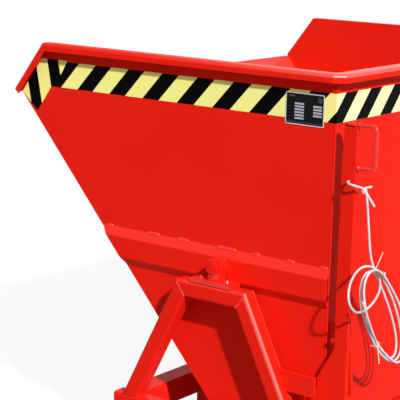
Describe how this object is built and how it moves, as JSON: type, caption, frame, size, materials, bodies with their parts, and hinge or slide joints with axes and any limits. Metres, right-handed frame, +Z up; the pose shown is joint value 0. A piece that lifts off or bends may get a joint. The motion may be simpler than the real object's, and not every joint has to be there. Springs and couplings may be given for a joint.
{
  "type": "tipping skip trolley",
  "caption": "Red steel tipping skip on trunnions between A-shaped trestles, on a wheeled chassis with fork pockets, with a release lever and a coiled pull cord.",
  "frame": {"origin": "on the floor under the middle of the trolley's box", "axes": "+X points to the pouring side, +Y to the trolley's left as seen from behind it, where the lever is, +Z up"},
  "size_m": [1.0597, 1.3336, 1.07],
  "materials": {
    "red_paint": "gloss sprayed red paint over sheet and tube",
    "zinc_steel": "dull zinc plate",
    "wheel_core": "moulded grey core",
    "tyre_rubber": "plain solid tread",
    "pedal_steel": "black painted pedal",
    "buffer_rubber": "matt black rubber",
    "cord_fibre": "off-white braided cord",
    "tie_plastic": "natural nylon strap"
  },
  "bodies": {
    "chassis": {"bearing_bolts": "red_paint", "left_trestle_bar": "red_paint", "right_trestle_bar": "red_paint", "left_front_leg": "red_paint", "left_rear_leg": "red_paint", "right_front_leg": "red_paint", "right_rear_leg": "red_paint", "left_side_rail": "red_paint", "right_side_rail": "red_paint", "front_crossbar": "red_paint", "rear_crossbar": "red_paint", "left_fork_pocket": "red_paint", "right_fork_pocket": "red_paint", "left_bearing": "red_paint", "right_bearing": "red_paint", "latch_striker": "red_paint", "castor_pads": "red_paint", "castor_bolts": "zinc_steel", "front_axles": "zinc_steel", "front_forks": "zinc_steel", "swivel_plates": "zinc_steel", "rubber_buffers": "buffer_rubber"},
    "skip": {"left_side_wall": "red_paint", "right_side_wall": "red_paint", "rear_wall": "red_paint", "floor_plate": "red_paint", "front_wall": "red_paint", "pour_lip": "red_paint", "left_rim": "red_paint", "right_rim": "red_paint", "rear_rim": "red_paint", "left_stiffener": "red_paint", "right_stiffener": "red_paint", "left_trunnion": "red_paint", "right_trunnion": "red_paint", "trunnion_washers": "red_paint", "trunnion_collars": "red_paint", "lever_stop": "red_paint", "lever_pivot": "zinc_steel"},
    "release_lever": {"release_lever": "red_paint", "lever_grip": "red_paint", "lever_spring": "zinc_steel", "pull_cord": "cord_fibre", "cord_coil": "cord_fibre", "cable_ties": "tie_plastic"},
    "rear_left_swivel": {"rear_left_fork": "zinc_steel", "rear_left_axle": "zinc_steel"},
    "rear_right_swivel": {"rear_right_fork": "zinc_steel", "rear_right_axle": "zinc_steel"},
    "rear_left_brake_pedal": {"rear_left_brake": "pedal_steel"},
    "rear_right_brake_pedal": {"rear_right_brake": "pedal_steel"},
    "front_left_wheel_body": {"front_left_wheel": "wheel_core", "front_left_tyre": "tyre_rubber"},
    "front_right_wheel_body": {"front_right_wheel": "wheel_core", "front_right_tyre": "tyre_rubber"},
    "rear_left_wheel_body": {"rear_left_wheel": "wheel_core", "rear_left_tyre": "tyre_rubber"},
    "rear_right_wheel_body": {"rear_right_wheel": "wheel_core", "rear_right_tyre": "tyre_rubber"}
  },
  "joints": [
    {"name": "skip_tip", "type": "hinge", "parent": "chassis", "child": "skip", "pos_m": [-0.13375, 0, 0.61], "axis": [0, 1, 0], "range_deg": [0, 60]},
    {"name": "lever_swing", "type": "hinge", "parent": "skip", "child": "release_lever", "pos_m": [-0.39875, 0.6025, 0.298], "axis": [0, -1, 0], "range_deg": [0, 12], "stiffness_Nm_per_rad": 6, "springref_deg": -28.65, "deforming": ["lever_spring"]},
    {"name": "front_left_wheel_roll", "type": "hinge", "parent": "chassis", "child": "front_left_wheel_body", "pos_m": [0.06825, 0.5915, 0.08], "axis": [0, 1, 0], "continuous": true},
    {"name": "front_right_wheel_roll", "type": "hinge", "parent": "chassis", "child": "front_right_wheel_body", "pos_m": [0.06825, -0.5915, 0.08], "axis": [0, 1, 0], "continuous": true},
    {"name": "rear_left_swivel_turn", "type": "hinge", "parent": "chassis", "child": "rear_left_swivel", "pos_m": [-0.33575, 0.5915, 0.17], "axis": [0, 0, 1], "continuous": true},
    {"name": "rear_left_brake_press", "type": "hinge", "parent": "rear_left_swivel", "child": "rear_left_brake_pedal", "pos_m": [-0.44375, 0.5915, 0.142], "axis": [0, -1, 0], "range_deg": [0, 12]},
    {"name": "rear_left_wheel_roll", "type": "hinge", "parent": "rear_left_swivel", "child": "rear_left_wheel_body", "pos_m": [-0.37575, 0.5915, 0.08], "axis": [0, 1, 0], "continuous": true},
    {"name": "rear_right_swivel_turn", "type": "hinge", "parent": "chassis", "child": "rear_right_swivel", "pos_m": [-0.33575, -0.5915, 0.17], "axis": [0, 0, 1], "continuous": true},
    {"name": "rear_right_brake_press", "type": "hinge", "parent": "rear_right_swivel", "child": "rear_right_brake_pedal", "pos_m": [-0.44375, -0.5915, 0.142], "axis": [0, -1, 0], "range_deg": [0, 12]},
    {"name": "rear_right_wheel_roll", "type": "hinge", "parent": "rear_right_swivel", "child": "rear_right_wheel_body", "pos_m": [-0.37575, -0.5915, 0.08], "axis": [0, 1, 0], "continuous": true}
  ]
}
